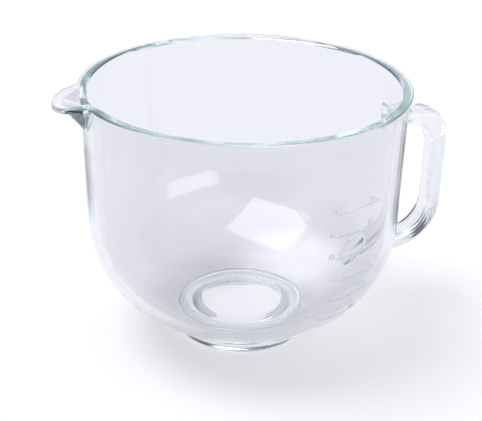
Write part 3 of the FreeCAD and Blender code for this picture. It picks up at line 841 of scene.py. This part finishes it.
def floor_material():
    """Pale floor that runs out to white and keeps its shadow, with brighter patches where the glass
    gathers the light."""
    material, tree, output = new_material("studio_floor")
    place = tree.nodes.new("ShaderNodeNewGeometry").outputs["Position"]
    front = compared(tree, "DOT_PRODUCT", place, Vector(FRONT_TOWARD).normalized())
    # Painted shade: the floor's colour is mixed toward a grey on the side of the camera
    colour = mixed(tree, fade(tree, front, FRONT_FROM, FRONT_TO, 0, 1), FLOOR_COLOUR, FRONT_SHADE_COLOUR)
    glow = FLOOR_GLOW
    for centre, core, edge, brightness in GATHERED_PATCHES:
        distance = compared(tree, "DISTANCE", place, centre)
        glow = calculated(tree, "ADD", glow, fade(tree, distance, core, edge, brightness, 0))
    matte = tree.nodes.new("ShaderNodeBsdfDiffuse")
    feed(tree, colour, matte.inputs["Color"])
    shine = tree.nodes.new("ShaderNodeEmission")
    feed(tree, colour, shine.inputs["Color"])
    feed(tree, calculated(tree, "MULTIPLY", sees_background(tree), glow), shine.inputs["Strength"])
    both = tree.nodes.new("ShaderNodeAddShader")
    tree.links.new(matte.outputs["BSDF"], both.inputs[0])
    tree.links.new(shine.outputs["Emission"], both.inputs[1])
    tree.links.new(both.outputs["Shader"], output.inputs["Surface"])
    return material


def room_world():
    """A white sweep all round up to eye level, and above it the dark parts of the room."""
    world = bpy.data.worlds.new("studio")
    bpy.context.scene.world = world
    world.use_nodes = True
    tree = world.node_tree
    tree.nodes.clear()
    toward = tree.nodes.new("ShaderNodeTexCoord").outputs["Generated"]

    def near(part, edge, core):
        closeness = compared(tree, "DOT_PRODUCT", toward, Vector(part).normalized())
        return fade(tree, closeness, edge, core, 0, 1)

    above_sweep = near(UP, SWEEP_TOP, SWEEP_FADED)
    seen = WHITE
    for part, edge, core, colour in DARK_PARTS:
        seen = mixed(tree, calculated(tree, "MULTIPLY", above_sweep, near(part, edge, core)), seen, colour)
    background = tree.nodes.new("ShaderNodeBackground")
    feed(tree, mixed(tree, sees_background(tree), ROOM_LIGHT, seen), background.inputs["Color"])
    output = tree.nodes.new("ShaderNodeOutputWorld")
    tree.links.new(background.outputs["Background"], output.inputs["Surface"])


def studio():
    """The floor, just below the foot, and the room round it."""
    half, level = FLOOR_HALF_SIZE / MM, -FLOOR_DROP / MM
    corners = [(-half, -half, level), (half, -half, level), (half, half, level), (-half, half, level)]
    floor = make_object("floor", corners, [(0, 1, 2, 3)])
    floor.data.materials.append(floor_material())
    room_world()


def placed_pose(right, up, back, place):
    """Pose with its own X to the right, Y up and Z back, at a place, turned with the studio."""
    pose = Matrix((right, up, back)).transposed().to_4x4()
    pose.translation = Vector(place)
    return STUDIO_TURN @ pose


def soft_box(name, place, facing, edge, width, depth, power):
    """A rectangular light that shows only as a reflection. edge is the direction of the side that
    is width long."""
    light = bpy.data.lights.new(name, "AREA")
    light.shape = "RECTANGLE"
    light.size = width
    light.size_y = depth
    light.energy = power
    back = -Vector(facing).normalized()
    across = Vector(edge)
    across = (across - across.dot(back) * back).normalized()
    obj = bpy.data.objects.new(name, light)
    obj.matrix_world = placed_pose(across, back.cross(across), back, place)
    obj.visible_diffuse = False
    bpy.context.scene.collection.objects.link(obj)


def key_light():
    """The soft light that casts the bowl's shadow, and shows in no reflection."""
    sun = bpy.data.lights.new("key", "SUN")
    sun.energy = KEY_STRENGTH
    sun.angle = KEY_SPREAD
    key = bpy.data.objects.new("key", sun)
    toward_floor = STUDIO_TURN @ Vector(KEY_DIRECTION)
    key.rotation_euler = toward_floor.to_track_quat("-Z", "Y").to_euler()
    key.visible_glossy = False
    key.visible_transmission = False
    bpy.context.scene.collection.objects.link(key)


def camera():
    """The view from the front, down into the bowl."""
    level = math.cos(CAMERA_PITCH)
    forward = Vector((math.sin(CAMERA_YAW) * level, math.cos(CAMERA_YAW) * level, -math.sin(CAMERA_PITCH)))
    right = forward.cross(Vector(UP)).normalized()
    up = right.cross(forward)
    rolled_right = math.cos(CAMERA_ROLL) * right + math.sin(CAMERA_ROLL) * up
    rolled_up = math.cos(CAMERA_ROLL) * up - math.sin(CAMERA_ROLL) * right
    data = bpy.data.cameras.new("camera")
    data.sensor_width = SENSOR_WIDTH
    data.lens = FOCAL_PIXELS * SENSOR_WIDTH / PICTURE_WIDTH
    data.clip_start = CAMERA_NEAR
    data.clip_end = CAMERA_FAR
    obj = bpy.data.objects.new("camera", data)
    obj.matrix_world = placed_pose(rolled_right, rolled_up, -forward, CAMERA_PLACE)
    bpy.context.scene.collection.objects.link(obj)
    bpy.context.scene.camera = obj


studio()
key_light()
soft_box("overhead", **OVERHEAD_BOX)
soft_box("side", **SIDE_BOX)
camera()
bpy.context.scene.view_settings.view_transform = "Standard"
bpy.context.scene.cycles.max_bounces = BOUNCES
bpy.context.scene.cycles.glossy_bounces = BOUNCES
bpy.context.scene.cycles.transmission_bounces = BOUNCES

bpy.context.view_layer.update()
